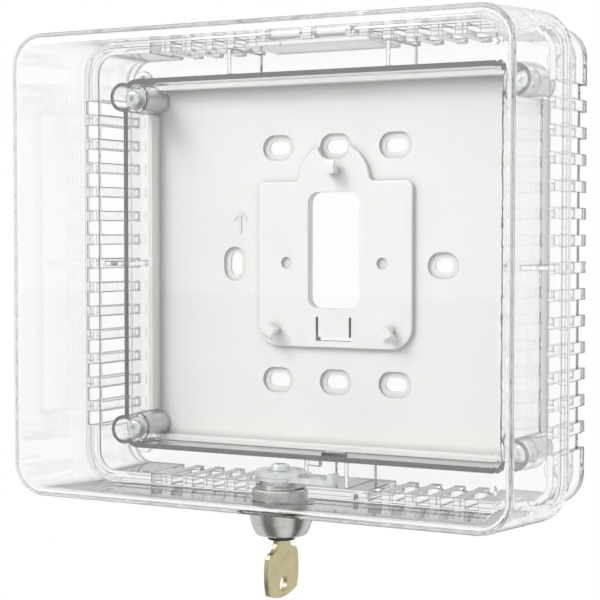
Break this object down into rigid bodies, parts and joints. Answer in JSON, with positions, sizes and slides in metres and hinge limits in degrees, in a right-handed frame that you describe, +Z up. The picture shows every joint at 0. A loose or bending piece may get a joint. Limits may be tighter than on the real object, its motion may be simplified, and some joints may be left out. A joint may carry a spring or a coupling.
{
  "type": "thermostat lock box",
  "caption": "Clear wall-mounted cover with a top hinge, vented base ring, grey wallplate and a cam lock with key, made to guard a room thermostat.",
  "frame": {"origin": "centre of the four corner slots of the wallplate, on the wall plane", "axes": "+X right, +Y into the wall, +Z up; the box stands out towards -Y"},
  "size_m": [0.1858, 0.0722, 0.1918],
  "materials": {
    "clear_plastic": "clear moulded polycarbonate",
    "grey_plastic": "fine matt moulding",
    "satin_nickel": "satin nickel plate",
    "dark_plug": "blackened",
    "zinc_steel": "bright zinc plate",
    "key_brass": "pale brass, lightly worn",
    "wafer_brass": "stamped brass",
    "spring_steel": "bright wire"
  },
  "bodies": {
    "mount": {"base_ring": "clear_plastic", "wallplate": "grey_plastic", "ring_screws": "zinc_steel"},
    "lid": {"cover": "clear_plastic", "lock_housing": "satin_nickel", "lock_nut": "satin_nickel"},
    "plug": {"lock_plug": "dark_plug", "stop_washer": "zinc_steel", "lock_cam": "zinc_steel", "cam_washer": "zinc_steel", "cam_screw": "zinc_steel", "wafer_1": "wafer_brass", "wafer_2": "wafer_brass", "wafer_3": "wafer_brass", "wafer_4": "wafer_brass", "wafer_5": "wafer_brass", "wafer_springs": "spring_steel"},
    "key": {"key": "key_brass"}
  },
  "joints": [
    {"name": "cover_hinge", "type": "hinge", "parent": "mount", "child": "lid", "pos_m": [0, -0.0242, 0.07935], "axis": [-1, 0, 0], "range_deg": [0, 90]},
    {"name": "lock_turn", "type": "hinge", "parent": "lid", "child": "plug", "pos_m": [0, -0.0435, -0.08], "axis": [0, 0, 1], "range_deg": [0, 90]},
    {"name": "key_slide", "type": "slide", "parent": "plug", "child": "key", "axis": [0, 0, -1], "range_m": [0, 0.024]}
  ]
}
